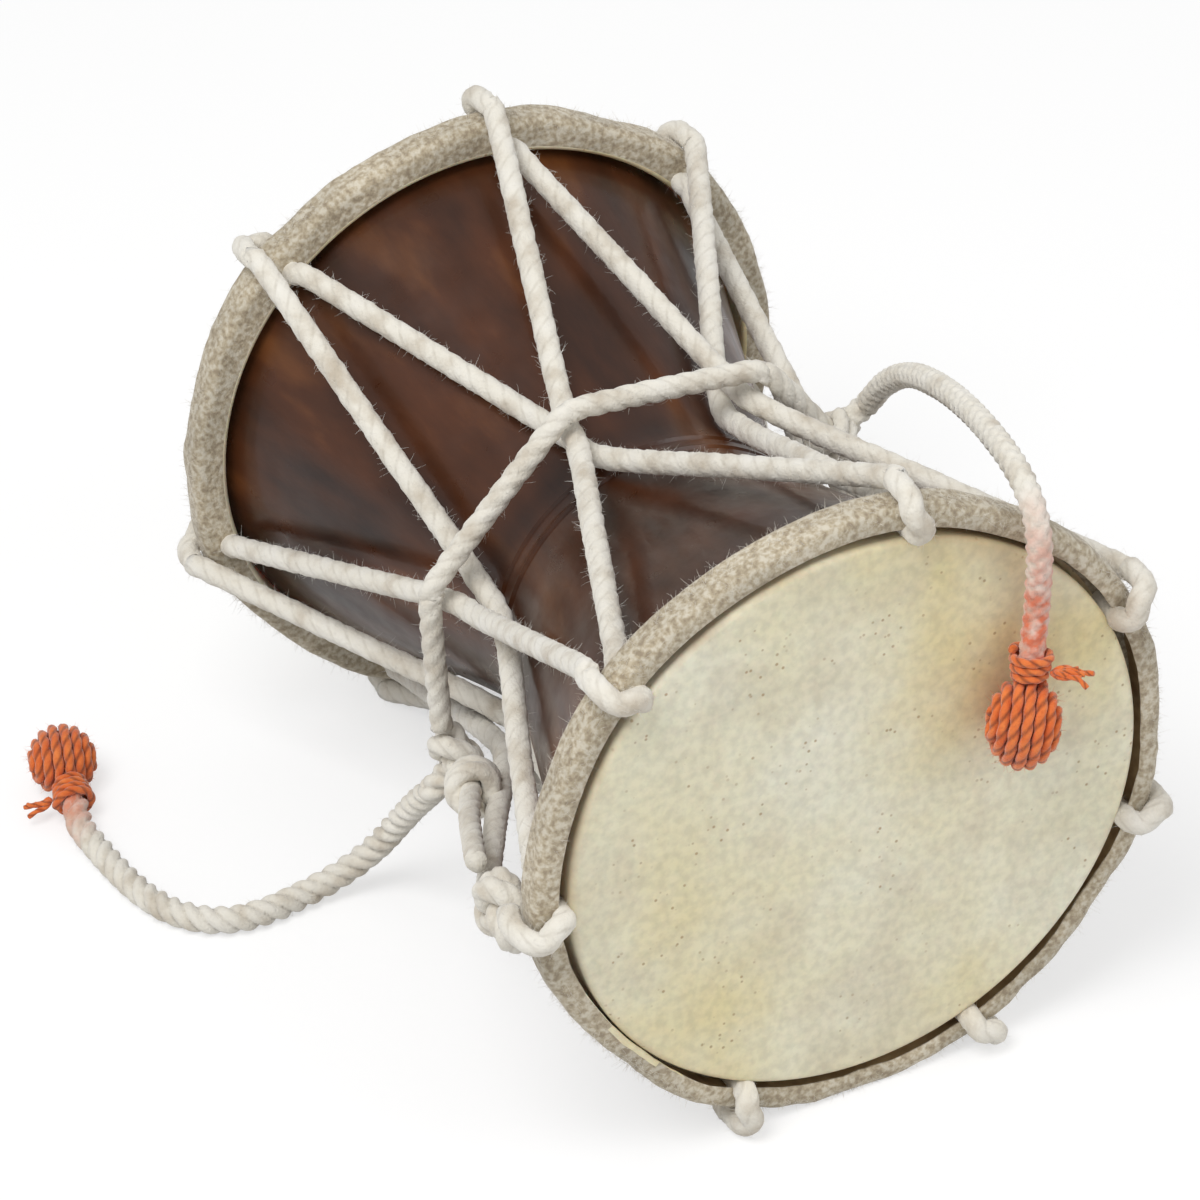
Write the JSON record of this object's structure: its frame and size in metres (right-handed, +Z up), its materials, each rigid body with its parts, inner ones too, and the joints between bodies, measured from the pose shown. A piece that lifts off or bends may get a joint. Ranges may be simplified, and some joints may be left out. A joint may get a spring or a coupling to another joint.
{
  "type": "damaru",
  "caption": "Laced hourglass hand drum lying on its hoops, with hide heads at both ends and two corded beaters that swing from the waist.",
  "frame": {"origin": "on the surface the drum lies on, under the middle of the object's box, measured without its free cords", "axes": "+Y along the drum's axis from the near head to the far head, +Z up"},
  "size_m": [0.2076, 0.22, 0.1562],
  "materials": {
    "varnished_wood": "dark brown gloss varnish over turned wood",
    "hide": "dry cream hide, matt, fibrous where it is folded back",
    "cane": "plain split cane",
    "cotton_rope": "fuzzy off-white cotton rope",
    "cotton_cord": "off-white cotton cord, tinted orange near the balls",
    "bead_wood": "bare wood",
    "orange_yarn": "orange yarn, matt"
  },
  "bodies": {
    "drum": {"shell": "varnished_wood", "near_head_skin": "hide", "far_head_skin": "hide", "near_hoop": "cane", "far_hoop": "cane", "lacing_rope": "cotton_rope", "belt_rope": "cotton_rope", "belt_knot": "cotton_rope", "lacing_knot": "cotton_rope", "belt_tail": "cotton_rope", "right_cord_hitch": "cotton_cord"},
    "left_beater": {"left_cord": "cotton_cord", "left_ball_core": "bead_wood", "left_ball_yarn": "orange_yarn", "left_neck_binding": "orange_yarn", "left_yarn_tuft": "orange_yarn"},
    "right_cord": {"right_cord_rise": "cotton_cord"},
    "right_beater": {"right_cord_fall": "cotton_cord", "right_ball_core": "bead_wood", "right_ball_yarn": "orange_yarn", "right_neck_binding": "orange_yarn", "right_yarn_tuft": "orange_yarn"}
  },
  "joints": [
    {"name": "left_beater_sweep", "type": "hinge", "parent": "drum", "child": "left_beater", "pos_m": [-0.03294, 0.00579, 0.0404], "axis": [0, 0, 1], "range_deg": [-15, 95]},
    {"name": "right_cord_lift", "type": "hinge", "parent": "drum", "child": "right_cord", "pos_m": [0.07886, 0.00419, 0.1064], "axis": [-0.8793, 0.0964, 0.4664], "range_deg": [0, 60]},
    {"name": "right_beater_swing", "type": "hinge", "parent": "right_cord", "child": "right_beater", "pos_m": [0.06866, -0.08241, 0.1447], "axis": [-1, 0, 0], "range_deg": [0, 75]}
  ]
}
